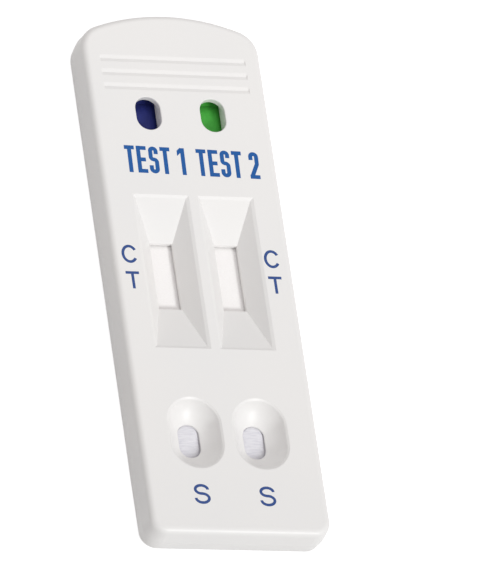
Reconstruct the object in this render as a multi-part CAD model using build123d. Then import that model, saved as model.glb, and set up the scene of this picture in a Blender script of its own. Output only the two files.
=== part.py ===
from build123d import *

import os
from math import cos, radians, sin, sqrt

# A lateral flow cassette that runs two tests side by side.
# Two moulded half shells press together round two test strips.
# A strip is a card that carries a sample pad, a conjugate pad, a membrane, an absorbent pad and a cover tape.
# Sizes are in millimetres. +X is across, +Y runs towards the grip end, +Z is up.
# The origin is the middle of the underside. Places along a strip are measured from its sample end.

# Test strips
strip_pitch = 9.0
strip_width = 4.0
strip_length = 60.0
card_thickness = 0.25
membrane_start = 21.0
membrane_length = 25.0
membrane_thickness = 0.15
conjugate_pad_length = 8.0
conjugate_pad_thickness = 0.4
sample_pad_thickness = 0.4
absorbent_pad_thickness = 1.3
tape_thickness = 0.1
pad_overlap = 2.0
pad_ramp = 0.6
pad_swell_gap = 0.12
pad_swell_rise = 0.2
pad_swell_slope = 30.0

# Casing walls
casing_length = 76.2
casing_width = 25.2
lower_shell_height = 2.3
floor_thickness = 1.0
wall_thickness = 1.2
face_thickness = 1.2
strip_headroom = 0.7
side_draft = 5.0
sample_end_corner_radius = 2.4
grip_end_corner_radius = 3.9
grip_end_bow_radius = 28.0
inside_corner_radius = 0.3
face_edge_radius = 0.9
base_edge_chamfer = 0.35
tongue_thickness = 0.55
tongue_height = 0.5
tongue_clearance = 0.08

# Strip beds in the lower shell
strip_clearance = 0.15
rail_thickness = 0.7
rail_rise = 0.15
bed_rib_height = 0.65
bed_rib_thickness = 1.0
bed_rib_count = 7

# Result hoppers and their slots
hopper_width = 7.8
hopper_length = 22.4
hopper_depth = 2.4
hopper_lip_width = 0.4
hopper_lip_depth = 0.33
slot_width = 3.2
slot_length = 9.6
slot_centre = 30.3
slot_offset = 0.42
slot_height_over_membrane = 0.25
skin_thickness = 0.9

# Sample wells
well_centre = 6.5
well_width = 7.2
well_length = 9.9
well_rim_chamfer = 0.2
well_rim_slope = 75.0
well_lip_slope = 33.0
well_steps = 4
well_skin_steps = 2
hole_width = 3.0
hole_length = 4.8
hole_lip_thickness = 0.3

# Colour windows over the cover tapes: a round-ended hole in a thin plate, over a square-cornered shaft
colour_window_from_far_end = 6.92
colour_window_width = 3.45
colour_window_length = 4.85
colour_window_plate = 0.85
colour_window_rim_chamfer = 0.08
colour_shaft_length = 6.4

# Ribs in the upper shell that press on the pads
press_rib_thickness = 0.6

# Grip grooves
groove_from_grip_end = 7.0
groove_pitch = 2.06
groove_count = 3
groove_length = 20.3
groove_width = 1.0
groove_depth = 0.14

# Press pins of the upper shell, whose six corners bear on round sockets in the lower shell
pin_across_corners = 1.6
pin_length = 1.5
pin_clearance = 0.05
pin_tip_chamfer = 0.2
socket_spare_depth = 0.15
boss_diameter = 3.0
boss_rise = 0.6
boss_wall_gap = 0.3
side_pin_count = 3
pin_from_sample_end = 4.6
pin_from_grip_end = 7.1

# How far an edge may lie from the face's height and still count as being in the face
height_tolerance = 0.001

# Heights that follow from the stack
bed_height = floor_thickness + bed_rib_height
card_top = bed_height + card_thickness
membrane_top = card_top + membrane_thickness
conjugate_pad_top = card_top + conjugate_pad_thickness
sample_pad_top = card_top + sample_pad_thickness
absorbent_pad_top = card_top + absorbent_pad_thickness
tape_top = absorbent_pad_top + tape_thickness
ceiling_height = tape_top + strip_headroom
casing_height = ceiling_height + face_thickness
slot_bottom = membrane_top + slot_height_over_membrane
hopper_bottom = casing_height - hopper_depth
hole_lip_height = sample_pad_top + hole_lip_thickness
boss_top = lower_shell_height + boss_rise

# Places along Y that follow from the strip
strip_start = -strip_length / 2
strip_end = strip_length / 2
membrane_first = strip_start + membrane_start
membrane_last = membrane_first + membrane_length
conjugate_last = membrane_first + pad_overlap
conjugate_first = conjugate_last - conjugate_pad_length
sample_pad_last = conjugate_first + pad_overlap
absorbent_first = membrane_last - pad_overlap
slot_y = strip_start + slot_centre
hopper_y = slot_y - slot_offset
well_y = strip_start + well_centre
colour_window_y = strip_end - colour_window_from_far_end


def outline(inset):
    """Plan of the casing drawn in by inset: straight sides, a square sample end and a bowed grip end."""
    half_width = casing_width / 2 - inset
    sample_end = -casing_length / 2 + inset
    bow_centre = casing_length / 2 - grip_end_bow_radius
    bow_radius = grip_end_bow_radius - inset
    shoulder = bow_centre + sqrt(bow_radius**2 - half_width**2)
    left_side = Line((-half_width, shoulder), (-half_width, sample_end))
    square_end = Line((-half_width, sample_end), (half_width, sample_end))
    right_side = Line((half_width, sample_end), (half_width, shoulder))
    bow = ThreePointArc((half_width, shoulder), (0, bow_centre + bow_radius), (-half_width, shoulder))
    plan = make_face(Curve() + [left_side, square_end, right_side, bow])
    sample_corner = max(sample_end_corner_radius - inset, inside_corner_radius)
    grip_corner = max(grip_end_corner_radius - inset, inside_corner_radius)
    plan = fillet(plan.vertices().sort_by(Axis.Y)[:2], sample_corner)
    return fillet(plan.vertices().sort_by(Axis.Y)[-2:], grip_corner)


def block(width, y_from, y_to, z_from, z_to):
    """Box centred on X = 0 between two places along Y and two heights."""
    middle = Pos(0, (y_from + y_to) / 2, (z_from + z_to) / 2)
    return middle * Box(width, y_to - y_from, z_to - z_from)


def post(diameter, z_from, z_to):
    """Upright cylinder between two heights."""
    upright = (Align.CENTER, Align.CENTER, Align.MIN)
    return Pos(0, 0, z_from) * Cylinder(diameter / 2, z_to - z_from, align=upright)


def obround(width, length, height):
    """Face at a height with straight sides along Y and half-round ends."""
    return Pos(0, 0, height) * SlotOverall(length, width, rotation=90)


def over_both_strips(shape):
    """A copy of the shape over each strip."""
    return [Pos(side * strip_pitch / 2, 0, 0) * shape for side in (-1, 1)]


def pin_places():
    """Middles of the press pins: a row along each side and two between the strips."""
    side_x = casing_width / 2 - wall_thickness - boss_wall_gap - boss_diameter / 2
    first = -casing_length / 2 + pin_from_sample_end
    last = casing_length / 2 - pin_from_grip_end
    step = (last - first) / (side_pin_count - 1)
    rows = [first + step * place for place in range(side_pin_count)]
    side_places = [(side * side_x, y) for side in (-1, 1) for y in rows]
    near_y = (well_y + well_length / 2 + hopper_y - hopper_length / 2) / 2
    far_y = (hopper_y + hopper_length / 2 + colour_window_y - colour_window_length / 2) / 2
    return side_places + [(0, near_y), (0, far_y)]


def corners(width, length, y, z):
    """Four corners of a level rectangle centred on X = 0."""
    signs = [(-1, -1), (1, -1), (1, 1), (-1, 1)]
    return [(across * width / 2, y + along * length / 2, z) for across, along in signs]


def flat_sided(levels):
    """Solid with flat sides through levels of four corners each."""
    faces = [make_face(Polyline(*level, close=True)) for level in (levels[0], levels[-1])]
    for near, far in zip(levels, levels[1:]):
        for corner in range(4):
            after = (corner + 1) % 4
            side = Polyline(near[corner], near[after], far[after], far[corner], close=True)
            faces.append(make_face(side))
    return Solid(Shell(faces))


def hopper():
    """Four-sided funnel from the face down to its slot, with a steep lip round its rim."""
    lip_bottom = casing_height - hopper_lip_depth
    lip_spread = 2 * hopper_lip_width
    return flat_sided([
        corners(slot_width, slot_length, slot_y, hopper_bottom),
        corners(hopper_width - lip_spread, hopper_length - lip_spread, hopper_y, lip_bottom),
        corners(hopper_width, hopper_length, hopper_y, casing_height),
    ])


def hopper_skin():
    """Wall round a slot and under its hopper's slopes."""
    spread = 2 * skin_thickness
    return flat_sided([
        corners(slot_width + spread, slot_length + spread, slot_y, slot_bottom),
        corners(hopper_width + spread, hopper_length + spread, hopper_y, casing_height - skin_thickness),
    ])


def slot():
    """Straight shaft of the result slot, from over the membrane up to its hopper."""
    return block(slot_width, slot_y - slot_length / 2, slot_y + slot_length / 2, slot_bottom, hopper_bottom)


def bowl(spread, top, bottom, steps, ruled):
    """Sample well: obrounds that shrink with depth along an arc, steep at the rim and flatter at the hole."""
    rim = radians(well_rim_slope)
    lip = radians(well_lip_slope)
    levels = []
    for step in range(steps + 1):
        slope = rim + (lip - rim) * step / steps
        inward = (sin(rim) - sin(slope)) / (sin(rim) - sin(lip))
        down = (cos(slope) - cos(rim)) / (cos(lip) - cos(rim))
        width = well_width + (hole_width - well_width) * inward + 2 * spread
        length = well_length + (hole_length - well_length) * inward + 2 * spread
        levels.append(obround(width, length, top + (bottom - top) * down))
    return Pos(0, well_y, 0) * loft(levels, ruled=ruled)


def hole():
    """Straight shaft through the lip at the bottom of a sample well."""
    return Pos(0, well_y, 0) * extrude(obround(hole_width, hole_length, sample_pad_top), hole_lip_thickness)


def colour_window():
    """Round-ended hole of a colour window, through the face down to its shaft."""
    plan = obround(colour_window_width, colour_window_length, casing_height - colour_window_plate)
    return Pos(0, colour_window_y, 0) * extrude(plan, colour_window_plate)


def colour_shaft(spread):
    """Square-cornered shaft under a colour window, from the tape's surface up to the thin plate."""
    half_length = colour_shaft_length / 2 + spread
    width = colour_window_width + 2 * spread
    plate_bottom = casing_height - colour_window_plate
    return block(width, colour_window_y - half_length, colour_window_y + half_length, tape_top, plate_bottom)


def press_ribs():
    """Ribs that hold a strip down where its pads overlap."""
    seats = [
        ((conjugate_first + sample_pad_last) / 2, conjugate_pad_top + sample_pad_thickness),
        ((membrane_first + conjugate_last) / 2, membrane_top + conjugate_pad_thickness),
        ((absorbent_first + membrane_last) / 2, tape_top),
    ]
    half = press_rib_thickness / 2
    return [block(strip_width, y - half, y + half, seat, ceiling_height) for y, seat in seats]


def grip_grooves():
    """Row of V grooves across the face near the grip end."""
    grooves = []
    for place in range(groove_count):
        y = casing_length / 2 - groove_from_grip_end - groove_pitch * place
        vee = Polygon(
            (y - groove_width / 2, casing_height),
            (y, casing_height - groove_depth),
            (y + groove_width / 2, casing_height),
            align=None,
        )
        grooves.append(extrude(Plane.YZ * vee, groove_length / 2, both=True))
    return grooves


def rim_edges(shell, x, y, width, length):
    """Edges in the face's plane that lie round one opening of the given size."""
    def is_near(edge):
        middle = edge.bounding_box().center()
        return abs(middle.X - x) <= width / 2 and abs(middle.Y - y) <= length / 2
    lowest = casing_height - height_tolerance
    highest = casing_height + height_tolerance
    return shell.edges().filter_by_position(Axis.Z, lowest, highest).filter_by(is_near)


def pin():
    """Boss under the face with a six-sided press pin below it, whose tip is chamfered."""
    shank = extrude(Pos(0, 0, boss_top - pin_length) * RegularPolygon(pin_across_corners / 2, 6), pin_length)
    shank = chamfer(shank.edges().group_by(Axis.Z)[0], pin_tip_chamfer)
    return post(boss_diameter, boss_top, ceiling_height) + shank


def make_upper_shell():
    """Face and upper walls, with hoppers, wells, colour windows, grooves, press ribs and pins."""
    parting = Pos(0, 0, lower_shell_height)
    shell = extrude(parting * outline(0), casing_height - lower_shell_height, taper=side_draft)
    shell = fillet(shell.edges().group_by(Axis.Z)[-1], face_edge_radius)
    shell -= extrude(parting * outline(wall_thickness), ceiling_height - lower_shell_height)
    rebate = outline(wall_thickness - tongue_thickness - tongue_clearance)
    shell -= extrude(parting * rebate, tongue_height + tongue_clearance)
    shell += [Pos(x, y, 0) * pin() for x, y in pin_places()]
    shell -= over_both_strips(strip_room())
    well_skin = bowl(skin_thickness, casing_height - skin_thickness, sample_pad_top, well_skin_steps, True)
    walls = [hopper_skin(), well_skin, colour_shaft(skin_thickness)]
    walls += press_ribs()
    for wall in walls:
        shell += over_both_strips(wall)
    well = bowl(0, casing_height, hole_lip_height, well_steps, False)
    for opening in (hopper(), slot(), well, hole(), colour_window(), colour_shaft(0)):
        shell -= over_both_strips(opening)
    for side in (-1, 1):
        x = side * strip_pitch / 2
        shell = chamfer(rim_edges(shell, x, well_y, well_width, well_length), well_rim_chamfer)
        windows = rim_edges(shell, x, colour_window_y, colour_window_width, colour_window_length)
        shell = chamfer(windows, colour_window_rim_chamfer)
    return shell - grip_grooves()


def strip_room():
    """Room that a strip and its pads need, from its bed up to the ceiling."""
    width = strip_width + 2 * strip_clearance
    room_start = strip_start - strip_clearance
    room_end = strip_end + strip_clearance
    return block(width, room_start, room_end, bed_height, ceiling_height)


def strip_bed():
    """Rails, end stops and low cross ribs that hold one strip in the lower shell."""
    inner_width = strip_width + 2 * strip_clearance
    inner_start = strip_start - strip_clearance
    inner_end = strip_end + strip_clearance
    rail_top = membrane_top + rail_rise
    outer_width = inner_width + 2 * rail_thickness
    outer_start = inner_start - rail_thickness
    outer_end = inner_end + rail_thickness
    frame = block(outer_width, outer_start, outer_end, floor_thickness, rail_top)
    frame -= block(inner_width, inner_start, inner_end, floor_thickness, rail_top)
    rib_step = strip_length / bed_rib_count
    for place in range(bed_rib_count):
        y = strip_start + rib_step * (place + 0.5)
        half = bed_rib_thickness / 2
        frame += block(inner_width, y - half, y + half, floor_thickness, bed_height)
    return frame


def make_lower_shell():
    """Floor and lower walls, with a tongue along the rim, two strip beds and the sockets for the pins."""
    parting = Pos(0, 0, lower_shell_height)
    shell = extrude(parting * outline(0), lower_shell_height, dir=(0, 0, -1), taper=side_draft)
    shell = chamfer(shell.edges().group_by(Axis.Z)[0], base_edge_chamfer)
    tongue = outline(wall_thickness - tongue_thickness)
    shell += extrude(parting * tongue, tongue_height)
    cavity_height = lower_shell_height + tongue_height - floor_thickness
    shell -= extrude(Pos(0, 0, floor_thickness) * outline(wall_thickness), cavity_height)
    shell += [Pos(x, y, 0) * post(boss_diameter, floor_thickness, boss_top) for x, y in pin_places()]
    shell -= over_both_strips(strip_room())
    shell += over_both_strips(strip_bed())
    socket_diameter = pin_across_corners + 2 * pin_clearance
    socket = post(socket_diameter, boss_top - pin_length - socket_spare_depth, boss_top)
    return shell - [Pos(x, y, 0) * socket for x, y in pin_places()]


def across_strip(points):
    """Piece of a strip with the given side view, as wide as the strip."""
    return extrude(Plane.YZ * Polygon(*points, align=None), strip_width / 2, both=True)


def climbing_pad(first, last, step_at, step_height, thickness):
    """Pad on the card that climbs onto the piece that starts at step_at, step_height over the card."""
    low = card_top
    high = card_top + step_height
    return across_strip([
        (first, low),
        (step_at - pad_ramp, low),
        (step_at, high),
        (last, high),
        (last, high + thickness),
        (step_at, high + thickness),
        (step_at - pad_ramp, low + thickness),
        (first, low + thickness),
    ])


def make_sample_pad():
    """Sample pad, which swells a little way up into the hole of the sample well."""
    pad = climbing_pad(
        strip_start, sample_pad_last, conjugate_first, conjugate_pad_thickness, sample_pad_thickness
    )
    swell_plan = obround(hole_width - 2 * pad_swell_gap, hole_length - 2 * pad_swell_gap, sample_pad_top)
    return pad + Pos(0, well_y, 0) * extrude(swell_plan, pad_swell_rise, taper=pad_swell_slope)


def make_conjugate_pad():
    """Conjugate pad, from under the sample pad's end to over the membrane's start."""
    return climbing_pad(
        conjugate_first, conjugate_last, membrane_first, membrane_thickness, conjugate_pad_thickness
    )


def make_absorbent_pad():
    """Thick wick, flat on top, that laps over the membrane's end."""
    return across_strip([
        (absorbent_first, membrane_top),
        (membrane_last, membrane_top),
        (membrane_last + pad_ramp, card_top),
        (strip_end, card_top),
        (strip_end, absorbent_pad_top),
        (absorbent_first, absorbent_pad_top),
    ])


def make_strip():
    """Pieces of one test strip, by name, centred on X = 0."""
    return {
        "backing_card": block(strip_width, strip_start, strip_end, bed_height, card_top),
        "membrane": block(strip_width, membrane_first, membrane_last, card_top, membrane_top),
        "conjugate_pad": make_conjugate_pad(),
        "sample_pad": make_sample_pad(),
        "absorbent_pad": make_absorbent_pad(),
        "cover_tape": block(strip_width, absorbent_first, strip_end, absorbent_pad_top, tape_top),
    }


def make_cassette():
    """Every piece of the cassette, by name, where it lies when the casing is closed."""
    pieces = {"upper_shell": make_upper_shell(), "lower_shell": make_lower_shell()}
    for name, piece in make_strip().items():
        left, right = over_both_strips(piece)
        pieces[name + "_left"] = left
        pieces[name + "_right"] = right
    return pieces


os.makedirs("parts", exist_ok=True)
for name, piece in make_cassette().items():
    export_step(piece, f"parts/{name}.step")
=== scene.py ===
"""Looks of a lateral flow cassette that runs two tests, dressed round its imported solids.

Lengths are in metres and MM turns millimetres into them. +X is across the cassette, +Y runs towards its
grip end and +Z is up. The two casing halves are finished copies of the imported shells. Every layer of the
two test strips is a new surface worked out from its packed box, and the printed marks are films on the face.
"""

import logging
from dataclasses import dataclass, replace
from enum import Enum
from math import cos, radians, sin
from typing import Any, Mapping, Sequence

import bpy
import numpy as np
from mathutils import Matrix, Vector


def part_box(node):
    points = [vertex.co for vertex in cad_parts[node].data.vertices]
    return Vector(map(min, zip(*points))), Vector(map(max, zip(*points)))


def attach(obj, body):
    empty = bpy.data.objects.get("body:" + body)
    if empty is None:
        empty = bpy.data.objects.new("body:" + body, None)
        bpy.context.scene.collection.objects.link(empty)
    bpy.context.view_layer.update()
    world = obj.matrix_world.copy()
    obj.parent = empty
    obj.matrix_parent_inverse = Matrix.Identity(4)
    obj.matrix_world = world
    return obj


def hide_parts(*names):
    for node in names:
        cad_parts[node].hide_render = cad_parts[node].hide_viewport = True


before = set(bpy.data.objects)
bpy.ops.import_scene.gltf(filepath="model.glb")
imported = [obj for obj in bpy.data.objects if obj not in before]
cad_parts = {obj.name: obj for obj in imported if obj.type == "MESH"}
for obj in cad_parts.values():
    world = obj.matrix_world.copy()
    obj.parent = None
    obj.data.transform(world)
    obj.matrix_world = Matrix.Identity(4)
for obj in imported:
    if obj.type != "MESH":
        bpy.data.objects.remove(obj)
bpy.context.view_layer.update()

MM = 0.001
BODY = "root"
# A layer's edge that turns by more than this is shaded as sharp.
CREASE = radians(60)
# Grid lines within the round of a cut edge.
ROUND_STEPS = 4
LOG = logging.getLogger("cassette")

Inputs = Mapping[str, Any]
Points = np.ndarray
Pair = tuple[float, float]
Triple = tuple[float, float, float]
Colour = tuple[float, float, float, float]


class Side(Enum):
    """The two tests, named by the side they lie on. The value is the sign of X."""

    LEFT = -1
    RIGHT = 1

    @property
    def word(self) -> str:
        """The side as it ends a node's name."""
        return self.name.lower()


def linear(red: int, green: int, blue: int) -> Colour:
    """Turns a colour of 0 to 255 per channel into the linear colour that shaders take, by the sRGB curve.

    Args:
        red: Red channel as seen on a screen.
        green: Green channel.
        blue: Blue channel.

    Returns:
        Linear red, green, blue and an alpha of 1.
    """
    share = np.array([red, green, blue]) / 255
    value = np.where(share <= 0.04045, share / 12.92, ((share + 0.055) / 1.055) ** 2.4)
    return (*(float(v) for v in value), 1.0)


class Value:
    """A shader socket that can be used in a Python expression, which adds Math nodes as it goes."""

    def __init__(self, sheet: "NodeSheet", socket: bpy.types.NodeSocket | None) -> None:
        """Keeps the socket and the sheet that its node stands on."""
        self.sheet = sheet
        self.socket = socket

    def math(self, operation: str, other: "Value | float", swapped: bool = False) -> "Value":
        """Result of a Math node that takes this socket first or, where swapped, last."""
        first, second = (other, self) if swapped else (self, other)
        return self.sheet.node("ShaderNodeMath", {"operation": operation}, {"0": first, "1": second})

    def __add__(self, other: "Value | float") -> "Value":
        """Sum."""
        return self.math("ADD", other)

    def __sub__(self, other: "Value | float") -> "Value":
        """Difference."""
        return self.math("SUBTRACT", other)

    def __rsub__(self, other: float) -> "Value":
        """Number minus this."""
        return self.math("SUBTRACT", other, swapped=True)

    def __mul__(self, other: "Value | float") -> "Value":
        """Product."""
        return self.math("MULTIPLY", other)

    __radd__ = __add__
    __rmul__ = __mul__

    def clipped(self) -> "Value":
        """This value held between 0 and 1."""
        return self.sheet.node("ShaderNodeClamp", {}, {"Value": self})

    def between(self, low: float, high: float) -> "Value":
        """How far this value has come from low to high, held between 0 and 1."""
        return ((self - low) * (1 / (high - low))).clipped()


class NodeSheet:
    """The node tree of one material or of the world, filled by one method."""

    def __init__(self, tree: bpy.types.NodeTree) -> None:
        """Empties the tree, so that nothing of Blender's own is left on it."""
        self.tree = tree
        self.tree.nodes.clear()

    def node(self, kind: str, settings: Inputs, inputs: Inputs, output: int | str = 0) -> Value:
        """Adds a node: first its settings, then the values or links of its sockets.

        Args:
            kind: The node's type.
            settings: Attributes such as operation or data_type.
            inputs: Sockets by identifier, name or number, each with a value or a Value to link.
            output: Identifier, name or number of the output wanted.

        Returns:
            The output wanted, or the node's Value without a socket where it has no outputs.
        """
        made = self.tree.nodes.new(kind)
        for name, setting in settings.items():
            setattr(made, name, setting)
        for key, given in inputs.items():
            socket = self._find(made.inputs, key)
            if isinstance(given, Value):
                self.tree.links.new(given.socket, socket)
            else:
                socket.default_value = given
        return Value(self, self._find(made.outputs, output) if made.outputs else None)

    @staticmethod
    def _find(sockets: Any, key: int | str) -> bpy.types.NodeSocket:
        """Looks a socket up by identifier, then by name, then by number.

        Args:
            sockets: A node's inputs or outputs.
            key: What to look up.

        Returns:
            The socket.
        """
        for socket in sockets:
            if socket.identifier == key:
                return socket
        for socket in sockets:
            if socket.name == key and socket.enabled:
                return socket
        return sockets[int(key)]

    def place(self, scale: Triple = (1.0, 1.0, 1.0), turn: float = 0.0) -> Value:
        """Object coordinates in millimetres, stretched and turned about Z.

        Args:
            scale: Factor along each axis, after the change to millimetres.
            turn: Angle about Z in radians.

        Returns:
            A vector socket.
        """
        coordinates = self.node("ShaderNodeTexCoord", {}, {}, "Object")
        factors = [axis / MM for axis in scale]
        inputs = {"Vector": coordinates, "Scale": factors, "Rotation": (0.0, 0.0, turn)}
        return self.node("ShaderNodeMapping", {}, inputs)

    def noise(self, where: Value, size: float, detail: float, seed: float) -> Value:
        """Smooth noise about 0.5 in blotches of size millimetres, with detail octaves on top."""
        inputs = {"Vector": where, "W": seed, "Scale": 1 / size, "Detail": detail}
        return self.node("ShaderNodeTexNoise", {"noise_dimensions": "4D"}, inputs, "Fac")

    def blend(self, factor: Value | float, low: Any, high: Any) -> Value:
        """Colour between two colours."""
        inputs = {"Factor_Float": factor, "A_Color": low, "B_Color": high}
        return self.node("ShaderNodeMix", {"data_type": "RGBA"}, inputs, "Result_Color")

    def bump(self, height: Value, depth: float, under: Value | None = None) -> Value:
        """Normal of a surface raised by height.

        Args:
            height: Height from 0 to 1.
            depth: What a height of 1 stands for, in metres.
            under: Normal of a coarser bump that this one lies on.

        Returns:
            A normal.
        """
        inputs = {"Height": height, "Distance": depth, "Strength": 1.0}
        if under is not None:
            inputs["Normal"] = under
        return self.node("ShaderNodeBump", {}, inputs, "Normal")

    def skin(self, inputs: Inputs) -> None:
        """Ends the sheet in a Principled surface."""
        surface = self.node("ShaderNodeBsdfPrincipled", {}, inputs)
        self.node("ShaderNodeOutputMaterial", {}, {"Surface": surface})


def new_sheet(name: str) -> tuple[bpy.types.Material, NodeSheet]:
    """A material and the sheet to fill.

    Args:
        name: The material's name.

    Returns:
        The material and its empty node sheet.
    """
    material = bpy.data.materials.new(name)
    material.use_nodes = True
    return material, NodeSheet(material.node_tree)


@dataclass(frozen=True)
class MouldedPlastic:
    """Satin white polystyrene from an eroded mould: fine grain, faint flow waves and uneven gloss.

    In every finish the sizes of patterns are in millimetres and the heights of relief in metres. Each
    pattern adds a number of its own to the seed, so that no two are alike.
    """

    name: str
    colour: Colour = linear(240, 238, 236)
    cool_colour: Colour = linear(237, 236, 235)
    drift_size: float = 14.0
    drift_range: Pair = (0.25, 0.75)
    roughness: float = 0.43
    gloss_size: float = 2.5
    gloss_spread: float = 0.10
    grain_size: float = 0.09
    grain_height: float = 0.0016 * MM
    wave_size: float = 6.0
    wave_stretch: float = 0.45
    wave_height: float = 0.012 * MM
    refraction: float = 1.55
    seed: float = 0.0

    def material(self) -> bpy.types.Material:
        """The plastic, with colour drift, gloss and relief from noise of four sizes.

        Returns:
            The material.
        """
        material, sheet = new_sheet(self.name)
        where = sheet.place()
        along = sheet.place((1.0, self.wave_stretch, 1.0))
        drift = sheet.noise(where, self.drift_size, 1.0, self.seed)
        waves = sheet.noise(along, self.wave_size, 1.5, self.seed + 3)
        grain = sheet.noise(where, self.grain_size, 2.0, self.seed + 5)
        gloss = sheet.noise(where, self.gloss_size, 3.0, self.seed + 7)
        sheet.skin({
            "Base Color": sheet.blend(drift.between(*self.drift_range), self.colour, self.cool_colour),
            "Roughness": self.roughness + (gloss - 0.5) * self.gloss_spread,
            "Normal": sheet.bump(grain, self.grain_height, sheet.bump(waves, self.wave_height)),
            "IOR": self.refraction,
        })
        return material


@dataclass(frozen=True)
class Fibre:
    """Matt mat of fine fibres that lie mostly across the strip: pads, membrane and card facing.

    A second layer crosses the first. Its share is its part in the mat, and its width is given in widths
    of the first layer's fibres. The painted shade range runs from level parts, in the plain colour, to the
    deepest hollows, which are painted in the shade colour as the shade between fibres.
    """

    name: str
    colour: Colour
    shade: Colour
    fibre_length: float = 1.1
    fibre_width: float = 0.12
    height: float = 0.03 * MM
    turn: float = radians(6)
    crossed_turn: float = radians(-24)
    crossed_share: float = 0.35
    crossed_width: float = 0.7
    painted_shade_range: Pair = (0.56, 0.31)
    roughness: float = 0.92
    gloss_spread: float = 0.12
    specular: float = 0.2
    sheen: float = 0.08
    seed: float = 0.0

    def material(self) -> bpy.types.Material:
        """Two crossed layers of stretched noise, lit as low relief, with painted shade darkening their
        hollows.

        Returns:
            The material.
        """
        material, sheet = new_sheet(self.name)
        scale = (self.fibre_width / self.fibre_length, 1.0, 1.0)
        crossed_width = self.fibre_width * self.crossed_width
        across = sheet.noise(sheet.place(scale, self.turn), self.fibre_width, 3.0, self.seed)
        crossed = sheet.noise(sheet.place(scale, self.crossed_turn), crossed_width, 3.0, self.seed + 2)
        mat = across * (1 - self.crossed_share) + crossed * self.crossed_share
        sheet.skin({
            # Painted shade: the hollows of the fibre relief are blended towards the shade colour.
            "Base Color": sheet.blend(mat.between(*self.painted_shade_range), self.colour, self.shade),
            "Roughness": self.roughness - mat * self.gloss_spread,
            "Normal": sheet.bump(mat, self.height),
            "Specular IOR Level": self.specular,
            "Sheen Weight": self.sheen,
        })
        return material


@dataclass(frozen=True)
class PrintedFilm:
    """Thin coloured film of a cover tape: dense print with a faint screen and hardly any gloss."""

    name: str
    colour: Colour
    deep_colour: Colour
    blotch_size: float = 1.8
    blotch_gain: float = 1.4
    blotch_low: float = 0.4
    dot_size: float = 0.07
    dot_gain: float = 0.5
    dot_height: float = 0.002 * MM
    slack_size: float = 2.6
    slack_height: float = 0.05 * MM
    roughness: float = 0.5
    gloss_spread: float = 0.2
    specular: float = 0.15
    seed: float = 0.0

    def material(self) -> bpy.types.Material:
        """Colour that deepens in blotches, with a fine printed grain and a slack, wavy film.

        Returns:
            The material.
        """
        material, sheet = new_sheet(self.name)
        where = sheet.place()
        blotch = sheet.noise(where, self.blotch_size, 2.0, self.seed)
        grain = sheet.noise(where, self.dot_size, 1.0, self.seed + 4)
        slack = sheet.noise(where, self.slack_size, 0.0, self.seed + 6)
        dots = grain - 0.5
        depth = (blotch * self.blotch_gain - self.blotch_low + dots * self.dot_gain).clipped()
        sheet.skin({
            "Base Color": sheet.blend(depth, self.colour, self.deep_colour),
            "Roughness": self.roughness + dots * self.gloss_spread,
            "Normal": sheet.bump(grain, self.dot_height, sheet.bump(slack, self.slack_height)),
            "Specular IOR Level": self.specular,
        })
        return material


@dataclass(frozen=True)
class PadInk:
    """Blue ink laid on by a soft printing pad: dense, a little glossy, thin at its pinholes."""

    name: str
    colour: Colour
    thin_colour: Colour
    pinhole_size: float = 0.16
    pinhole_range: Pair = (0.52, 0.853)
    relief_size: float = 0.1
    relief_height: float = 0.004 * MM
    roughness: float = 0.38
    thin_roughness: float = 0.2
    specular: float = 0.25
    seed: float = 0.0

    def material(self) -> bpy.types.Material:
        """Ink colour with small thin spots, fine relief and a patchy gloss.

        Returns:
            The material.
        """
        material, sheet = new_sheet(self.name)
        where = sheet.place()
        thin = sheet.noise(where, self.pinhole_size, 3.0, self.seed).between(*self.pinhole_range)
        relief = sheet.noise(where, self.relief_size, 2.0, self.seed + 2)
        sheet.skin({
            "Base Color": sheet.blend(thin, self.colour, self.thin_colour),
            "Roughness": self.roughness + thin * self.thin_roughness,
            "Normal": sheet.bump(relief, self.relief_height),
            "Specular IOR Level": self.specular,
        })
        return material


def add_object(name: str, data: bpy.types.ID) -> bpy.types.Object:
    """Links an object at the origin that holds a mesh, lamp or camera.

    Args:
        name: The object's name.
        data: What it holds.

    Returns:
        The object.
    """
    made = bpy.data.objects.new(name, data)
    bpy.context.scene.collection.objects.link(made)
    return made


def new_object(name: str, vertices: Points, faces: Points) -> bpy.types.Object:
    """Puts points and faces into a new mesh object at the origin.

    Args:
        name: Name of the object and its mesh.
        vertices: Points as rows of x, y and z.
        faces: Rows of vertex numbers, counter-clockwise from outside.

    Returns:
        The object, linked to the scene.
    """
    mesh = bpy.data.meshes.new(name)
    mesh.from_pydata(vertices.tolist(), [], faces.tolist())
    mesh.validate()
    mesh.update()
    return add_object(name, mesh)


def finish_piece(
    piece: bpy.types.Object, material: bpy.types.Material, slot: str, stands_for: Sequence[str] = ()
) -> None:
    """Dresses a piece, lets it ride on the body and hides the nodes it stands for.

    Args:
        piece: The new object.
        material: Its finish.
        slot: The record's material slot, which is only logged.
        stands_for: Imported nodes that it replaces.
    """
    piece.data.materials.clear()
    piece.data.materials.append(material)
    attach(piece, BODY)
    if stands_for:
        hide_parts(*stands_for)
    LOG.info("%s: %d faces in slot %s", piece.name, len(piece.data.polygons), slot)


def node_points(node: str) -> Points:
    """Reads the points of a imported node's mesh.

    Args:
        node: The node's name.

    Returns:
        Rows of x, y and z.
    """
    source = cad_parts[node].data
    places = np.empty(len(source.vertices) * 3, np.float32)
    source.vertices.foreach_get("co", places)
    return places.reshape(-1, 3)


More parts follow.
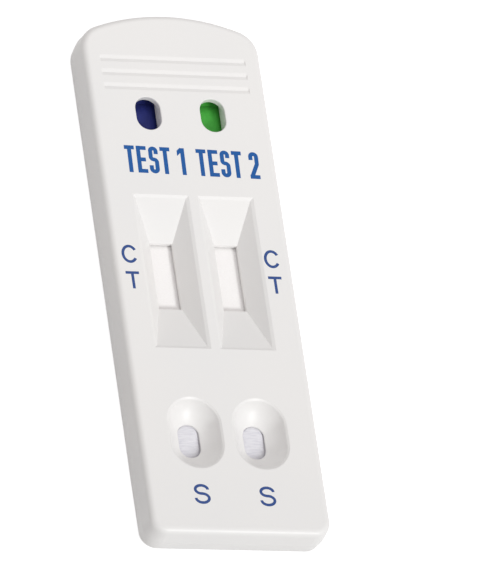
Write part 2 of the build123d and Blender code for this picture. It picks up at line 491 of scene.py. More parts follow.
@dataclass
class CasingHalf:
    """One moulded half shell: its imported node's triangles joined up, with the true normal at each corner.

    Attributes:
        name: Name of the finished piece.
        node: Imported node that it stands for.
        slot: The record's material slot.
        finish: The plastic.
        weld: Corners that round to the same multiple of this are one.
    """

    name: str
    node: str
    slot: str
    finish: MouldedPlastic
    weld: float = 0.0005 * MM

    def mesh(self) -> bpy.types.Mesh:
        """Welds the node's loose triangles and carries their corner normals over.

        Each corner goes to the nearest multiple of the weld distance. Equal corners become one vertex, a
        triangle with two equal corners is dropped, and the rest keep the normals of the curved or flat face
        that they came from.

        Returns:
            The welded mesh.
        """
        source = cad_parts[self.node].data
        places = node_points(self.node)
        corners = np.empty(len(source.loops), np.int32)
        source.loops.foreach_get("vertex_index", corners)
        triangles = corners.reshape(-1, 3)
        normals = np.empty(len(source.loops) * 3, np.float32)
        source.corner_normals.foreach_get("vector", normals)
        normals = normals.reshape(-1, 3, 3)
        self.shape(places, triangles, normals)
        rounded_off = np.round(places / self.weld).astype(np.int64)
        _, first, joined = np.unique(rounded_off, axis=0, return_index=True, return_inverse=True)
        welded = joined.reshape(-1)[triangles]
        whole = (welded != np.roll(welded, 1, axis=1)).all(axis=1)
        mesh = bpy.data.meshes.new(self.name)
        mesh.from_pydata(places[first].tolist(), [], welded[whole].tolist())
        mesh.shade_smooth()
        mesh.normals_split_custom_set(normals[whole].reshape(-1, 3).tolist())
        return mesh

    def shape(self, places: Points, triangles: Points, normals: Points) -> None:
        """Changes the node's points and corner normals in place, where the finished piece differs."""

    def build(self) -> None:
        """Makes the half shell."""
        piece = add_object(self.name, self.mesh())
        finish_piece(piece, self.finish.material(), self.slot, [self.node])


@dataclass
class UpperHalf(CasingHalf):
    """Upper half shell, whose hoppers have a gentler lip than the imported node's.

    Attributes:
        lip_depth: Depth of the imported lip's lower edge under the face.
        eased_depth: Its depth in the finished piece.
        reach: Largest distance of a hopper's lip from the middle plane.
    """

    lip_depth: float = 0.33 * MM
    eased_depth: float = 0.22 * MM
    reach: float = 9.0 * MM

    def shape(self, places: Points, triangles: Points, normals: Points) -> None:
        """Raises the lower edge of the lips. Each flat face that it bounds gets the normal of its own plane.

        Args:
            places: Points of the node, one row each.
            triangles: Three point numbers in each row.
            normals: Three corner normals for each triangle.
        """
        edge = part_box(self.node)[1].z - self.lip_depth
        lip = (np.abs(places[:, 2] - edge) < self.weld) & (np.abs(places[:, 0]) < self.reach)
        places[lip, 2] += self.lip_depth - self.eased_depth
        moved = lip[triangles].any(axis=1)
        first, second, third = places[triangles[moved]].transpose(1, 0, 2)
        square = np.cross(second - first, third - first)
        normals[moved] = (square / np.linalg.norm(square, axis=1, keepdims=True))[:, None, :]
        LOG.info("%s: %d points of the lips raised", self.name, int(lip.sum()))


def stations(first: float, last: float, edge: float, step: float) -> Points:
    """Places from first to last: close together within an edge's round, then evenly spaced.

    Args:
        first: Lowest place.
        last: Highest place.
        edge: Radius of the rounds at both ends.
        step: Spacing between them.

    Returns:
        The places in rising order.
    """
    angles = np.linspace(0, np.pi / 2, ROUND_STEPS + 1)[:-1]
    rise = edge * (1 - np.cos(angles))
    count = max(int(round((last - first - 2 * edge) / step)), 2)
    middle = np.linspace(first + edge, last - edge, count + 1)
    return np.concatenate([first + rise, middle, (last - rise)[::-1]])


def slab(xs: Points, ys: Points, bottom: Points, top: Points) -> tuple[Points, Points]:
    """Closes two height fields over one grid into a solid.

    A vertex is (x of its column, y of its row, height of the field there). The top sheet faces up, the bottom
    sheet faces down, and a band of quads joins their borders.

    Args:
        xs: Columns of the grid.
        ys: Rows of the grid.
        bottom: Heights of the underside, one row for each y.
        top: Heights of the upper side.

    Returns:
        The vertices and the quads.
    """
    columns, rows = len(xs), len(ys)
    grid_x, grid_y = np.meshgrid(xs, ys)
    sheets = [np.stack([grid_x, grid_y, height], axis=-1).reshape(-1, 3) for height in (top, bottom)]
    number = np.arange(rows * columns).reshape(rows, columns)
    corners = [number[:-1, :-1], number[:-1, 1:], number[1:, 1:], number[1:, :-1]]
    upper = np.stack(corners, axis=-1).reshape(-1, 4)
    lower = upper[:, ::-1] + rows * columns
    border = np.concatenate([number[0, :-1], number[:-1, -1], number[-1, :0:-1], number[:0:-1, 0]])
    after = np.roll(border, -1)
    band = np.stack([border, border + rows * columns, after + rows * columns, after], axis=-1)
    return np.concatenate(sheets), np.concatenate([upper, lower, band])


def rounded(xs: Points, ys: Points, radius: float) -> Points:
    """How far a quarter round lowers each grid point near the border.

    With d the distance to the nearest edge, the drop is r - sqrt(r^2 - (r - d)^2) within r of it, or else 0.

    Args:
        xs: Columns of the grid.
        ys: Rows of the grid.
        radius: Radius of the round.

    Returns:
        The drop at each grid point.
    """
    near_x = np.minimum(xs - xs[0], xs[-1] - xs)
    near_y = np.minimum(ys - ys[0], ys[-1] - ys)
    near = np.minimum(near_x[None, :], near_y[:, None])
    inside = np.clip(radius - near, 0, radius)
    return radius - np.sqrt(radius**2 - inside**2)


@dataclass(frozen=True)
class LooseFibres:
    """Fibres that stand out of a pad, each a low ridge that runs nearly across the strip.

    Attributes:
        count: How many there are.
        height: Height of the highest.
        seed: Seed of their places and turns.
        half_width: Half width of one.
        half_length: Half length of one.
        spread: Typical turn away from the strip's width.
        weakest: Height of the lowest as a share.
    """

    count: int
    height: float
    seed: int
    half_width: float = 0.06 * MM
    half_length: float = 0.7 * MM
    spread: float = radians(9)
    weakest: float = 0.4

    def drop(self, xs: Points, ys: Points) -> Points:
        """How far each grid point lies under the height of the highest fibre.

        Each fibre adds exp(-(distance across it / half_width)^2) * exp(-(distance along it / half_length)^2),
        and the sum is scaled to reach the height.

        Args:
            xs: Columns of the grid.
            ys: Rows of the grid.

        Returns:
            The drop at each grid point.
        """
        draw = np.random.default_rng(self.seed)
        centre_x = draw.uniform(xs.min(), xs.max(), self.count)
        centre_y = draw.uniform(ys.min(), ys.max(), self.count)
        turn = draw.normal(0, self.spread, self.count)
        strength = draw.uniform(self.weakest, 1.0, self.count)
        grid_x, grid_y = np.meshgrid(xs, ys)
        away_x = grid_x[..., None] - centre_x
        away_y = grid_y[..., None] - centre_y
        along = away_x * np.cos(turn) + away_y * np.sin(turn)
        across = away_y * np.cos(turn) - away_x * np.sin(turn)
        bell = np.exp(-((across / self.half_width) ** 2) - (along / self.half_length) ** 2)
        relief = (strength * bell).sum(axis=-1)
        return (1 - relief / relief.max()) * self.height


@dataclass(frozen=True)
class Press:
    """How the casing presses the soft layers down round a colour window, so that they bulge up inside it.

    Attributes:
        centre_y: Middle of the window.
        half_width: Half the width of the bulge.
        half_length: Half its length.
        depth: How far the layers are pressed down round it.
        reach: Length over which they rise again beyond it.
        power: Higher values make the bulge flatter in the middle and steeper at its border.
    """

    centre_y: float = 23.08 * MM
    half_width: float = 1.8 * MM
    half_length: float = 2.6 * MM
    depth: float = 0.42 * MM
    reach: float = 2.0 * MM
    power: float = 3.0

    def drop(self, xs: Points, ys: Points) -> Points:
        """How far each grid point is pressed down.

        With u and v the distances from the middle as shares of the half width and half length, the drop is
        depth * (1 - (1 - u^power) (1 - v^power)), and it fades out beyond the bulge's ends.

        Args:
            xs: Columns of the grid.
            ys: Rows of the grid.

        Returns:
            The drop at each grid point.
        """
        away_x = np.abs(xs - (xs[0] + xs[-1]) / 2)
        away_y = np.abs(ys - self.centre_y)
        across = 1 - np.clip(away_x / self.half_width, 0, 1) ** self.power
        along = 1 - np.clip(away_y / self.half_length, 0, 1) ** self.power
        fade = np.clip(1 - (away_y - self.half_length) / self.reach, 0, 1)
        return self.depth * (1 - along[:, None] * across[None, :]) * fade[:, None]


@dataclass
class Layer:
    """One layer of a test strip: a thin sheet that follows the layers under it.

    Attributes:
        name: Name of the finished piece.
        node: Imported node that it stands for.
        slot: The record's material slot.
        finish: Its material.
        thickness: Thickness of the sheet.
        lift: Places along Y and the height of the underside there, straight in between.
        flat_top: Whether the upper side stays level whatever the underside does.
        edge: Radius of its cut edges.
        step: Grid spacing.
        fibres: Fibres that stand out of its upper side, if any do.
        press: How the casing presses the layer down round a window, if it does.
    """

    name: str
    node: str
    slot: str
    finish: Fibre | PrintedFilm
    thickness: float
    lift: Sequence[Pair]
    flat_top: bool = False
    edge: float = 0.03 * MM
    step: float = 0.2 * MM
    fibres: LooseFibres | None = None
    press: Press | None = None

    def heights(self, xs: Points, ys: Points) -> tuple[Points, Points]:
        """Underside and upper side over the grid.

        The underside follows lift. The upper side is one thickness above it, or level with its highest place.
        A press lowers the upper side, and the underside too unless the layer has a flat top.

        Args:
            xs: Columns of the grid.
            ys: Rows of the grid.

        Returns:
            Heights of the underside and of the upper side.
        """
        places, levels = np.array(self.lift).T
        under = np.interp(ys, places, levels)
        over = np.full_like(under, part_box(self.node)[1].z) if self.flat_top else under + self.thickness
        bottom = np.repeat(under[:, None], len(xs), axis=1)
        top = np.repeat(over[:, None], len(xs), axis=1) - rounded(xs, ys, self.edge)
        if self.fibres:
            top -= self.fibres.drop(xs, ys)
        if self.press:
            drop = self.press.drop(xs, ys)
            top -= drop
            if not self.flat_top:
                bottom -= drop
        return bottom, top

    def build(self) -> bpy.types.Object:
        """Makes the layer over its node's box.

        Returns:
            The finished piece.
        """
        low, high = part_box(self.node)
        xs = stations(low.x, high.x, self.edge, self.step)
        ys = stations(low.y, high.y, self.edge, self.step)
        piece = new_object(self.name, *slab(xs, ys, *self.heights(xs, ys)))
        piece.data.shade_smooth()
        piece.data.set_sharp_from_angle(angle=CREASE)
        finish_piece(piece, self.finish.material(), self.slot, [self.node])
        return piece


@dataclass
class SamplePad(Layer):
    """Sample pad, which swells up into the hole of the sample well.

    Attributes:
        hole_width: Width of the well's hole.
        hole_length: Length of the well's hole.
        gap: Space between the swelling's foot and the hole's wall.
        shoulder: Width over which the swelling rounds up to its full height.
        sink: How far the swelling's near right end lies below its middle.
        sink_power: Higher values keep that end level for longer before it falls.
        sink_gain: Higher values make more of the swelling part of that end.
    """

    hole_width: float = 3.0 * MM
    hole_length: float = 4.8 * MM
    gap: float = 0.03 * MM
    shoulder: float = 1.1 * MM
    sink: float = 0.42 * MM
    sink_power: float = 1.5
    sink_gain: float = 1.4

    def crown(self) -> Pair:
        """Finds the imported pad's swelling, which lies before the pad starts to climb.

        Returns:
            Its middle along Y and its top.
        """
        places = node_points(self.node)
        level = places[places[:, 1] < self.lift[1][0] - self.edge]
        top = level[:, 2].max()
        across = level[level[:, 2] > top - self.edge, 1]
        return float(across.min() + across.max()) / 2, float(top)

    def heights(self, xs: Points, ys: Points) -> tuple[Points, Points]:
        """Adds the swelling to the plain layer.

        With s running from 0 where the shoulder starts to 1 at the border of an obround, the rise is
        swell * sqrt(1 - s^2), and swell - sink * s^sink_power at the near right, with a blend between them.

        Args:
            xs: Columns of the grid.
            ys: Rows of the grid.

        Returns:
            Heights of the underside and of the upper side.
        """
        bottom, top = super().heights(xs, ys)
        middle_y, peak = self.crown()
        swell = peak - self.lift[0][1] - self.thickness
        half_width = self.hole_width / 2 - self.gap
        straight = (self.hole_length - self.hole_width) / 2
        right = (xs - (xs[0] + xs[-1]) / 2)[None, :]
        far = (ys - middle_y)[:, None]
        radius = np.hypot(right, np.maximum(np.abs(far) - straight, 0))
        outward = np.clip(1 - (half_width - radius) / self.shoulder, 0, 1)
        near_right = np.clip(self.sink_gain * (right / self.hole_width - far / self.hole_length), 0, 1)
        beside = np.clip(1 - (radius - half_width) / self.shoulder, 0, 1)
        dome = swell * np.sqrt(1 - outward**2)
        slope = (swell - self.sink * outward**self.sink_power) * beside
        return bottom, top + dome + near_right * (slope - dome)

    def build(self) -> bpy.types.Object:
        """Returns:
            The finished piece.
        """
        piece = super().build()
        return piece


@dataclass
class TestStrip:
    """The stack of layers on one backing card.

    Attributes:
        side: Which of the two tests it is.
        tape: The finish of its cover tape.
        tape_slot: The record's slot of that tape.
        seed: Seed of its fibres, before the side's sign is added.
        ramp: Length over which a pad climbs onto the layer under its end.
    """

    side: Side
    tape: PrintedFilm
    tape_slot: str
    seed: int = 10
    ramp: float = 0.6 * MM

    def node(self, layer: str) -> str:
        """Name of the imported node, or of the finished piece, of a layer on this side."""
        return f"{layer}_{self.side.word}"

    def thickness(self, layer: str) -> float:
        """Height of a layer's packed box."""
        low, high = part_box(self.node(layer))
        return high.z - low.z

    def climb(self, layer: str, onto: str, rise: float) -> list[Pair]:
        """Underside of a pad that lies on the card and climbs onto the start of another layer.

        Args:
            layer: The pad.
            onto: The layer that its far end lies on.
            rise: How high that layer stands over the card.

        Returns:
            Places along Y with the underside's height.
        """
        low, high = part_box(self.node(layer))
        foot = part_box(self.node(onto))[0].y
        return [(low.y, low.z), (foot - self.ramp, low.z), (foot, low.z + rise), (high.y, low.z + rise)]

    def drop(self) -> list[Pair]:
        """Underside of the absorbent pad, which starts on the membrane and drops onto the card.

        Returns:
            Places along Y with the underside's height.
        """
        low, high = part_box(self.node("absorbent_pad"))
        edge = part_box(self.node("membrane"))[1].y
        rise = self.thickness("membrane")
        return [(low.y, low.z + rise), (edge, low.z + rise), (edge + self.ramp, low.z), (high.y, low.z)]

    def level(self, layer: str) -> list[Pair]:
        """Level underside of a layer."""
        low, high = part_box(self.node(layer))
        return [(low.y, low.z), (high.y, low.z)]

    def build(self) -> None:
        """Makes every layer from the card up."""
        membrane = self.thickness("membrane")
        conjugate = self.thickness("conjugate_pad") - membrane
        sample = self.thickness("sample_pad") - conjugate
        seed = self.seed + self.side.value
        window = Press()
        # The second colour of each fibre finish is the painted shade of its hollows.
        card = Fibre(
            "card_surface", linear(240, 240, 238), linear(228, 228, 226),
            fibre_length=0.3, fibre_width=0.2, height=0.004 * MM, roughness=0.5,
        )
        fine_mat = Fibre(
            "membrane_surface", linear(253, 251, 250), linear(247, 244, 243),
            fibre_length=0.12, fibre_width=0.08, height=0.006 * MM, seed=seed,
        )
        pale_mat = Fibre("conjugate_pad_fibres", linear(226, 222, 220), linear(196, 190, 188), seed=seed)
        white_mat = Fibre(
            "sample_pad_fibres", linear(233, 232, 237), linear(215, 214, 222),
            fibre_length=1.6, fibre_width=0.22, height=0.02 * MM, seed=seed,
        )
        felt = Fibre(
            "absorbent_felt", linear(238, 236, 231), linear(212, 209, 204),
            fibre_length=0.7, fibre_width=0.1, seed=seed,
        )
        layers = [
            Layer(
                self.node("card"), self.node("backing_card"), "backing_card", card,
                self.thickness("backing_card"), self.level("backing_card"),
            ),
            Layer(
                self.node("membrane_sheet"), self.node("membrane"), "membrane", fine_mat,
                membrane, self.level("membrane"), edge=0.02 * MM,
            ),
            Layer(
                self.node("conjugate_fibre_pad"), self.node("conjugate_pad"), "conjugate_pad", pale_mat,
                conjugate, self.climb("conjugate_pad", "membrane", membrane),
                edge=0.08 * MM, step=0.1 * MM, fibres=LooseFibres(90, 0.03 * MM, seed),
            ),
            SamplePad(
                self.node("sample_fibre_pad"), self.node("sample_pad"), "sample_pad", white_mat,
                sample, self.climb("sample_pad", "conjugate_pad", conjugate),
                edge=0.1 * MM, step=0.06 * MM, fibres=LooseFibres(160, 0.045 * MM, seed + 4),
            ),
            Layer(
                self.node("absorbent_felt_pad"), self.node("absorbent_pad"), "absorbent_pad", felt,
                self.thickness("absorbent_pad"), self.drop(), flat_top=True,
                edge=0.15 * MM, step=0.1 * MM, press=window,
            ),
            Layer(
                self.node("printed_tape"), self.node("cover_tape"), self.tape_slot, self.tape,
                self.thickness("cover_tape"), self.level("cover_tape"),
                edge=0.02 * MM, step=0.1 * MM, press=window,
            ),
        ]
        for layer in layers:
            layer.build()


class Cut(Enum):
    """Direction in which the end of a stroke is cut off."""

    LEVEL = (1.0, 0.0)
    UPRIGHT = (0.0, 1.0)


@dataclass(frozen=True)
class Stroke:
    """Middle line of one stroke of a letter, in rows of x and y. An end without a cut is left square."""

    path: Points | Sequence[Pair]
    first_cut: Cut | None = None
    last_cut: Cut | None = None

    def moved(self, x: float, y: float) -> "Stroke":
        """The same stroke somewhere else."""
        return replace(self, path=np.add(self.path, (x, y)))


@dataclass(frozen=True)
class Pen:
    """Strokes of the printed letters, drawn in the plane of the face.

    Attributes:
        width: Width of a stroke.
        height: Height of the ink film.
        soft: How far the film's upper edge is drawn in.
        bend: Height from which it is drawn in faster, as a share of the film's height.
        arc_steps: Points on a whole turn of an arc.
    """

    width: float
    height: float = 0.012 * MM
    soft: float = 0.012 * MM
    bend: float = 0.75
    arc_steps: int = 72

    def arc(self, centre: Pair, radii: Pair, start: float, end: float) -> Points:
        """Points of an ellipse's arc: (x + rx cos a, y + ry sin a) for a from start to end.

        Where the ellipse turns too sharply for the pen's width, it becomes two half circles with straight
        sides between them, just as wide and high.

        Args:
            centre: Centre along X and Y.
            radii: Radius along X and Y.
            start: First angle in degrees.
            end: Last angle in degrees.

        Returns:
            Rows of x and y.
        """
        (x, y), (rx, ry) = centre, radii
        count = max(int(abs(end - start) / 360 * self.arc_steps), 4)
        angles = np.radians(np.linspace(start, end, count + 1))
        cap = ry if rx**2 > ry * self.width / 2 else rx
        rise = cap * np.sin(angles) + (ry - cap) * np.sign(np.sin(angles).round(6))
        return np.stack([x + rx * np.cos(angles), y + rise], axis=-1)

    def film(self, stroke: Stroke, z: float) -> tuple[Points, list[list[int]]]:
        """Carries the ink film's section along a stroke.

        At each point the section stands along the bisector of the two runs that meet there, stretched by one
        over the cosine of half their turn, so that corners are mitred and every run keeps its width. An end
        that is cut along a direction d has its section along d, stretched by one over the part of d that lies
        square to the stroke.

        Args:
            stroke: The stroke's middle line and its cuts.
            z: Height of the film's underside.

        Returns:
            The vertices and the faces.
        """
        path = np.asarray(stroke.path)
        runs = np.diff(path, axis=0)
        runs /= np.linalg.norm(runs, axis=1, keepdims=True)
        normals = np.stack([-runs[:, 1], runs[:, 0]], axis=-1)
        before = np.concatenate([normals[:1], normals])
        after = np.concatenate([normals, normals[-1:]])
        offset = (before + after) / (1 + (before * after).sum(axis=1, keepdims=True))
        for end, cut in ((0, stroke.first_cut), (-1, stroke.last_cut)):
            if cut is not None:
                offset[end] = np.array(cut.value) / (normals[end] @ cut.value)
        half, soft = self.width / 2, self.soft
        section = [(half, 0.0), (half - soft / 2, self.height * self.bend), (half - soft, self.height)]
        section += [(-across, up) for across, up in reversed(section)]
        across, up = np.array(section).T
        plan = path[:, None, :] + offset[:, None, :] * across[None, :, None]
        heights = np.broadcast_to(z + up, (len(path), len(section)))
        vertices = np.concatenate([plan, heights[..., None]], axis=-1).reshape(-1, 3)
        number = np.arange(len(vertices)).reshape(heights.shape)
        here, there = number[:-1], number[1:]
        turned_here, turned_there = np.roll(here, -1, axis=1), np.roll(there, -1, axis=1)
        sides = np.stack([here, there, turned_there, turned_here], axis=-1).reshape(-1, 4)
        return vertices, [*sides.tolist(), number[0].tolist(), number[-1, ::-1].tolist()]


@dataclass(frozen=True)
class Letter:
    """One letter or digit, drawn from its lower left corner. Shares are of its height, angles in degrees.

    Attributes:
        sign: The character.
        width: Its width.
        height: Its height.
        open_c: Angles between which a C is drawn.
        waist: Share at which the bowls of an S meet.
        upper_bowl: Width of an S's upper bowl as a share of the lower one's.
        flag: Share at which a 1's flag starts.
        flag_end: How far under the top it ends, in widths of the pen.
        bowl: Share at which the middle of a 2's bowl lies.
        neck: Angle at which that bowl goes over into the neck.
        neck_foot: Where the neck ends from the left side, in widths of the pen.
    """

    sign: str
    width: float
    height: float
    open_c: Pair = (31.0, 327.0)
    waist: float = 0.52
    upper_bowl: float = 0.94
    flag: float = 0.8
    flag_end: float = 0.6
    bowl: float = 0.7
    neck: float = -28.0
    neck_foot: float = 0.65

    def strokes(self, pen: Pen) -> list[Stroke]:
        """Strokes from the lower left corner of the letter.

        Args:
            pen: The pen, whose width keeps strokes inside the letter's box and butts them against each other.

        Returns:
            The strokes.
        """
        half = pen.width / 2
        right, top = self.width, self.height
        middle = right / 2
        radius = middle - half
        if self.sign == "T":
            bar = [(0, top - half), (right, top - half)]
            return [Stroke(bar), Stroke([(middle, 0), (middle, top - pen.width)])]
        if self.sign == "E":
            ends = [(half, right), (top / 2, right - half / 2), (top - half, right)]
            arms = [Stroke([(pen.width, y), (end, y)]) for y, end in ends]
            return [Stroke([(half, 0), (half, top)]), *arms]
        if self.sign == "C":
            return [Stroke(pen.arc((middle, top / 2), (radius, top / 2 - half), *self.open_c))]
        if self.sign == "S":
            waist = top * self.waist
            upper = (top - half - waist) / 2
            lower = (waist - half) / 2
            bowl = pen.arc((middle, waist + upper), (radius * self.upper_bowl, upper), 0, 270)
            foot = pen.arc((middle, waist - lower), (radius, lower), 90, -180)
            return [Stroke(np.concatenate([bowl, foot[1:]]))]
        if self.sign == "1":
            flag = [(0, top * self.flag), (right - pen.width, top - pen.width * self.flag_end)]
            return [Stroke([(right - half, 0), (right - half, top)]), Stroke(flag, Cut.UPRIGHT, Cut.UPRIGHT)]
        if self.sign == "2":
            bowl = pen.arc((middle, top * self.bowl), (radius, top * (1 - self.bowl) - half), 180, self.neck)
            path = np.concatenate([bowl, [(pen.width * self.neck_foot, pen.width)]])
            return [Stroke(path, None, Cut.LEVEL), Stroke([(0, half), (right, half)])]
        raise ValueError(f"no strokes are drawn for {self.sign!r}")


@dataclass
class Mark:
    """A printed letter or word, lying as a thin film of ink on the face.

    Attributes:
        name: Name of the finished piece.
        text: Its characters.
        centre: Middle of the mark on the face.
        size: Width and height of a letter.
        pen: The pen that draws it.
        finish: The ink.
        turn: How far the mark is turned about its middle.
        gap: Space between two letters.
        space: Space between the word and its number.
        slim_share: Width of a 1 as a share of the other letters' width.
    """

    name: str
    text: str
    centre: Pair
    size: Pair
    pen: Pen
    finish: PadInk
    turn: float = 0.0
    gap: float = 0.27 * MM
    space: float = 1.0 * MM
    slim_share: float = 0.76

    def letters(self) -> list[tuple[float, Letter]]:
        """The letters with the place of each one's left side, from the mark's own left side.

        Returns:
            Places and letters, in reading order.
        """
        placed = []
        x = 0.0
        full_width, height = self.size
        for sign in self.text:
            if sign == " ":
                x += self.space - self.gap
                continue
            width = full_width * (self.slim_share if sign == "1" else 1)
            placed.append((x, Letter(sign, width, height)))
            x += width + self.gap
        return placed

    def build(self, face: float) -> None:
        """Draws every stroke into one mesh.

        Args:
            face: Height of the ink's underside.
        """
        placed = self.letters()
        last_x, last = placed[-1]
        left = self.centre[0] - (last_x + last.width) / 2
        low = self.centre[1] - last.height / 2
        vertices: list[Points] = []
        faces: list[list[int]] = []
        count = 0
        for x, letter in placed:
            for stroke in letter.strokes(self.pen):
                points, sides = self.pen.film(stroke.moved(left + x, low), face)
                vertices.append(points)
                faces += [[number + count for number in side] for side in sides]
                count += len(points)
        mesh = bpy.data.meshes.new(self.name)
        mesh.from_pydata(np.concatenate(vertices).tolist(), [], faces)
        middle = Matrix.Translation((*self.centre, 0))
        mesh.transform(middle @ Matrix.Rotation(self.turn, 4, "Z") @ middle.inverted())
        piece = add_object(self.name, mesh)
        finish_piece(piece, self.finish.material(), "upper_casing")


@dataclass
class Print:
    """Everything printed on the face: a word over each hopper and the letters beside slots and wells.

    Attributes:
        pitch: Distance between the two strips' middles.
        word_middle: Middle of the line of words, which is printed a little askew.
        word_turn: How far that line is turned.
        word_x: Middle of each word from the middle of the line.
        word_size: Width and height of a word's letters.
        line_x: Middle of the C and T letters from the middle plane.
        control_y: Middle of the C letters.
        control_size: Their width and height.
        test_y: Middle of the T letters.
        test_size: Their width and height.
        sample_y: Middle of the S letters.
        sample_size: Their width and height.
        letter_shift: How far the C and T letters are printed off centre.
        sample_shift: How far the S letters are printed off centre.
        right_drop: How much lower the letters of the right test are printed.
        lift: Height of the ink's underside over the face.
        word_pen: The pen of the words.
        letter_pen: The pen of the letters.
        word_ink: The ink of the words.
        letter_ink: The ink of the letters.
    """

    pitch: float = 9.0 * MM
    word_middle: Pair = (0.52 * MM, 16.03 * MM)
    word_turn: float = radians(-1.3)
    word_x: float = 5.05 * MM
    word_size: Pair = (1.37 * MM, 3.95 * MM)
    line_x: float = 9.87 * MM
    control_y: float = 2.21 * MM
    control_size: Pair = (2.2 * MM, 2.65 * MM)
    test_y: float = -1.58 * MM
    test_size: Pair = (1.85 * MM, 2.5 * MM)
    sample_y: float = -32.35 * MM
    sample_size: Pair = (2.2 * MM, 2.85 * MM)
    letter_shift: float = -0.17 * MM
    sample_shift: float = -0.38 * MM
    right_drop: float = 0.14 * MM
    lift: float = 0.001 * MM
    word_pen: Pen = Pen(0.57 * MM)
    letter_pen: Pen = Pen(0.39 * MM)
    word_ink: PadInk = PadInk("word_ink", linear(14, 86, 158), linear(44, 108, 174))
    letter_ink: PadInk = PadInk("mark_ink", linear(46, 76, 138), linear(80, 106, 158))

    def word(self, side: Side, number: int) -> Mark:
        """The word over one hopper, with its middle on the slanting line of words.

        Args:
            side: Which of the two tests.
            number: The test's number.

        Returns:
            The mark.
        """
        away = side.value * self.word_x
        x = self.word_middle[0] + away * cos(self.word_turn)
        y = self.word_middle[1] + away * sin(self.word_turn)
        return Mark(
            f"test_word_{side.word}", f"TEST {number}", (x, y), self.word_size, self.word_pen,
            self.word_ink, self.word_turn,
        )

    def build(self) -> None:
        """Prints both sides."""
        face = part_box("upper_shell")[1].z + self.lift
        for number, side in enumerate(Side, start=1):
            line_x = side.value * self.line_x + self.letter_shift
            sample_x = side.value * self.pitch / 2 + self.sample_shift
            drop = self.right_drop if side is Side.RIGHT else 0.0
            letters = (
                ("control", "C", line_x, self.control_y, self.control_size),
                ("test", "T", line_x, self.test_y, self.test_size),
                ("sample", "S", sample_x, self.sample_y, self.sample_size),
            )
            self.word(side, number).build(face)
            for use, sign, x, y, size in letters:
                name = f"{use}_letter_{side.word}"
                Mark(name, sign, (x, y - drop), size, self.letter_pen, self.letter_ink).build(face)


@dataclass
class Studio:
    """Pale floor and even light.

    Attributes:
        floor_size: Side of the square floor.
        floor_colour: Grey that the floor lights the object with.
        floor_glow: What a camera ray sees of the floor besides its lit colour.
        sky: Strength of the even light.
        sky_colour: Tint of that light.
    """

    floor_size: float = 1.6
    floor_colour: float = 0.58
    floor_glow: float = 0.74
    sky: float = 0.55
    sky_colour: Triple = (1.0, 0.975, 0.972)

    @staticmethod
    def seen(sheet: NodeSheet) -> Value:
        """Tells rays that show the background: from the camera, in gloss and through glass.

        Args:
            sheet: The sheet that its nodes go on.

        Returns:
            1 for such a ray, otherwise 0.
        """
        kinds = ("Is Camera Ray", "Is Glossy Ray", "Is Transmission Ray")
        camera, glossy, through = (sheet.node("ShaderNodeLightPath", {}, {}, kind) for kind in kinds)
        return (camera + glossy + through).clipped()

    def build_floor(self) -> None:
        """Floor that looks white to the camera, keeps its shadow and lights the object as a pale grey."""
        half = self.floor_size / 2
        corners = [(-half, -half, 0.0), (half, -half, 0.0), (half, half, 0.0), (-half, half, 0.0)]
        floor = new_object("floor", np.array(corners), np.array([[0, 1, 2, 3]]))
        material, sheet = new_sheet("floor_white")
        grey = (self.floor_colour,) * 3 + (1.0,)
        strength = self.seen(sheet) * self.floor_glow
        lit = sheet.node("ShaderNodeBsdfDiffuse", {}, {"Color": grey})
        glow = sheet.node("ShaderNodeEmission", {}, {"Color": (1.0, 1.0, 1.0, 1.0), "Strength": strength})
        both = sheet.node("ShaderNodeAddShader", {}, {"0": lit, "1": glow})
        sheet.node("ShaderNodeOutputMaterial", {}, {"Surface": both})
        floor.data.materials.append(material)

    def build_sky(self) -> None:
        """Even light all round, which the camera sees as pure white."""
        world = bpy.data.worlds.new("studio")
        world.use_nodes = True
        sheet = NodeSheet(world.node_tree)
        seen = self.seen(sheet)
        strength = self.sky + seen * (1 - self.sky)
        colour = sheet.blend(seen, (*self.sky_colour, 1.0), (1.0, 1.0, 1.0, 1.0))
        white = sheet.node("ShaderNodeBackground", {}, {"Color": colour, "Strength": strength})
        sheet.node("ShaderNodeOutputWorld", {}, {"Surface": white})
        bpy.context.scene.world = world


@dataclass(frozen=True)
class SoftBox:
    """One square lamp.

    Attributes:
        name: Its name.
        direction: Direction from the aim to the lamp.
        distance: How far it stands from the aim.
        size: Side of the lamp.
        share: Light on a surface at the aim that faces the lamp, as a share of what makes white.
        aim: Point that it is turned to.
        colour: Tint of its light.
    """

    name: str
    direction: Triple
    distance: float
    size: float
    share: float
    aim: Triple = (0.0, 0.0, 0.0)
    colour: Triple = (1.0, 1.0, 1.0)

    def build(self) -> None:
        """Makes the lamp. Its power is pi squared times share times distance squared."""
        data = bpy.data.lights.new(self.name, "AREA")
        data.shape = "SQUARE"
        data.size = self.size
        data.color = self.colour
        data.energy = np.pi**2 * self.share * self.distance**2
        lamp = add_object(self.name, data)
        direction = Vector(self.direction).normalized()
        lamp.location = Vector(self.aim) + direction * self.distance
        lamp.rotation_euler = direction.to_track_quat("Z", "Y").to_euler()


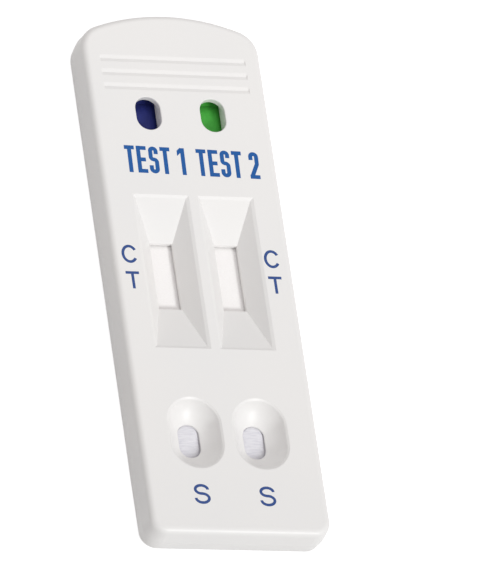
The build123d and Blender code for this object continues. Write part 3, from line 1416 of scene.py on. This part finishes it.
@dataclass(frozen=True)
class Viewpoint:
    """The camera's place, aim, roll and lens.

    Attributes:
        eye: Where it stands.
        aim: Point of the table at the middle of its picture.
        roll: Turn about its line of sight, clockwise as the camera sees the object turn.
        lens: Focal length in millimetres.
        film: Width of the film in millimetres.
        near: Nothing closer shows.
        far: Nothing further away shows.
    """

    eye: Triple = (-516.19 * MM, -648.80 * MM, 1245.87 * MM)
    aim: Triple = (7.52 * MM, 0.94 * MM, 0.0)
    roll: float = radians(35.55)
    lens: float = 725.67
    film: float = 36.0
    near: float = 0.01
    far: float = 20.0

    def build(self) -> None:
        """Makes the camera the scene's own."""
        data = bpy.data.cameras.new("camera")
        data.lens = self.lens
        data.sensor_width = self.film
        data.clip_start = self.near
        data.clip_end = self.far
        camera = add_object("camera", data)
        eye = Vector(self.eye)
        level = (Vector(self.aim) - eye).to_track_quat("-Z", "Y").to_matrix()
        turned = level @ Matrix.Rotation(self.roll, 3, "Z")
        camera.matrix_world = Matrix.Translation(eye) @ turned.to_4x4()
        bpy.context.scene.camera = camera


LOWER_PLASTIC = MouldedPlastic("lower_plastic", seed=2.0)
UPPER_PLASTIC = MouldedPlastic("upper_plastic", seed=6.0)
BLUE_FILM = PrintedFilm("blue_film", linear(44, 52, 122), linear(26, 32, 88), seed=1.0)
GREEN_FILM = PrintedFilm("green_film", linear(80, 180, 72), linear(64, 162, 62), seed=2.0)
KEY_LAMP = SoftBox(
    "key_lamp", direction=(0.37, -0.70, 0.61), distance=1.8, size=0.4, share=0.44, colour=(0.98, 1.0, 1.0)
)
FILL_LAMP = SoftBox(
    "fill_lamp", direction=(0.0, 0.05, 1.0), distance=0.12, size=0.12, share=0.21, aim=(0.012, 0.05, 0.0)
)


def main() -> None:
    """Builds the cassette from its casing inwards, then the studio."""
    logging.basicConfig(level=logging.INFO, format="%(name)s: %(message)s")
    CasingHalf("lower_casing", "lower_shell", "lower_casing", LOWER_PLASTIC).build()
    UpperHalf("upper_casing", "upper_shell", "upper_casing", UPPER_PLASTIC).build()
    TestStrip(Side.LEFT, BLUE_FILM, "blue_tape").build()
    TestStrip(Side.RIGHT, GREEN_FILM, "green_tape").build()
    Print().build()
    studio = Studio()
    studio.build_floor()
    studio.build_sky()
    KEY_LAMP.build()
    FILL_LAMP.build()
    Viewpoint().build()
    bpy.context.scene.view_settings.view_transform = "Standard"


if __name__ == "__main__":
    main()
